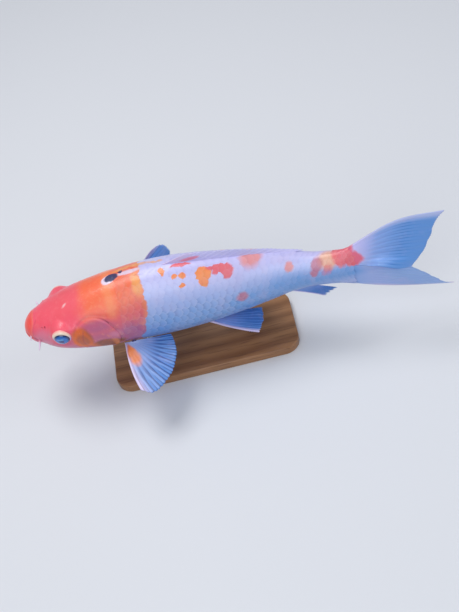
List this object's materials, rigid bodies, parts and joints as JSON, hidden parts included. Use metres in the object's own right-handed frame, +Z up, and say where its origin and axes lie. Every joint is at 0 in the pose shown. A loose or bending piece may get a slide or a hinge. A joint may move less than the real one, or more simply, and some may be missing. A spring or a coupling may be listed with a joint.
{
  "type": "koi carp",
  "caption": "Life-size koi carp gliding with its tail turned, red head and shoulders over a pale body, held above a plain flat base by two short rods.",
  "frame": {"origin": "middle of the flat underside of the base", "axes": "+Z up, the fish's head towards -X and its tail towards +X, its left side towards -Y"},
  "size_m": [0.5482, 0.2021, 0.1893],
  "materials": {
    "red_skin": "wet smooth orange-red fish skin with a soft gloss",
    "pale_skin": "wet scaled lilac-white fish skin with orange patches, bluer below",
    "fin": "thin translucent pale blue fin web with branching whitish rays",
    "eye": "clear wet eye with a blue-black pupil and a thin pale ring",
    "barbel": "soft pink skin, paler at the tips",
    "base_wood": "oiled walnut with an open grain and eased edges",
    "rod_steel": "satin drawn steel"
  },
  "bodies": {
    "root": {"head": "red_skin", "lower_jaw": "red_skin", "gill_cover_left": "red_skin", "gill_cover_right": "red_skin", "trunk_front": "pale_skin", "trunk_rear": "pale_skin", "tail_stem": "pale_skin", "eye_left": "eye", "eye_right": "eye", "barbel_left_front": "barbel", "barbel_right_front": "barbel", "barbel_left_rear": "barbel", "barbel_right_rear": "barbel", "dorsal_fin": "fin", "anal_fin": "fin", "caudal_fin_upper": "fin", "caudal_fin_lower": "fin", "pectoral_fin_left": "fin", "pectoral_fin_right": "fin", "pelvic_fin_left": "fin", "pelvic_fin_right": "fin", "stand_base": "base_wood", "stand_rod_front": "rod_steel", "stand_rod_rear": "rod_steel"}
  },
  "joints": []
}
